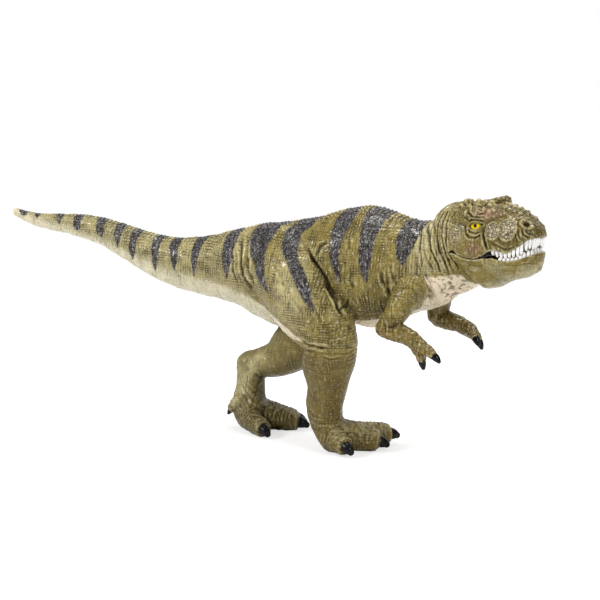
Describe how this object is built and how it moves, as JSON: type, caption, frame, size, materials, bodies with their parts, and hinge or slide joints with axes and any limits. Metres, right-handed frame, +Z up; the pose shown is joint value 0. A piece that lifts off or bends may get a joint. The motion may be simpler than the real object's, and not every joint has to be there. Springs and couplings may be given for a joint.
{
  "type": "toy dinosaur figure",
  "caption": "Striped soft vinyl figure of a large two-legged meat-eating dinosaur in a running step, standing on its feet, with a lower jaw that opens on a hinge.",
  "frame": {"origin": "on the floor, under the middle of the figure's box", "axes": "+X towards the snout, +Y towards the animal's left, +Z up"},
  "size_m": [0.2864, 0.0596, 0.1201],
  "materials": {
    "skin": "painted soft vinyl, olive with charcoal stripes and a cream belly, satin",
    "teeth": "white, glossy",
    "claws": "black, glossy",
    "tongue": "dark red, glossy",
    "eyes": "yellow with a black pupil, glossy",
    "pin": "plain steel"
  },
  "bodies": {
    "figure": {"torso": "skin", "tail": "skin", "head": "skin", "right_arm": "skin", "left_arm": "skin", "right_lower_leg": "skin", "left_lower_leg": "skin", "right_foot_inner_claw": "claws", "right_foot_middle_claw": "claws", "right_foot_outer_claw": "claws", "right_foot_spur_claw": "claws", "left_foot_inner_claw": "claws", "left_foot_middle_claw": "claws", "left_foot_outer_claw": "claws", "left_foot_spur_claw": "claws", "right_hand_outer_claw": "claws", "right_hand_inner_claw": "claws", "left_hand_outer_claw": "claws", "left_hand_inner_claw": "claws", "upper_teeth": "teeth", "right_eye": "eyes", "left_eye": "eyes", "jaw_pin": "pin"},
    "jaw": {"lower_jaw": "skin", "lower_teeth": "teeth", "tongue": "tongue"}
  },
  "joints": [
    {"name": "jaw_hinge", "type": "hinge", "parent": "figure", "child": "jaw", "pos_m": [0.10686, -0.00069, 0.09399], "axis": [0.2079, 0.9781, 0], "range_deg": [0, 25]}
  ]
}
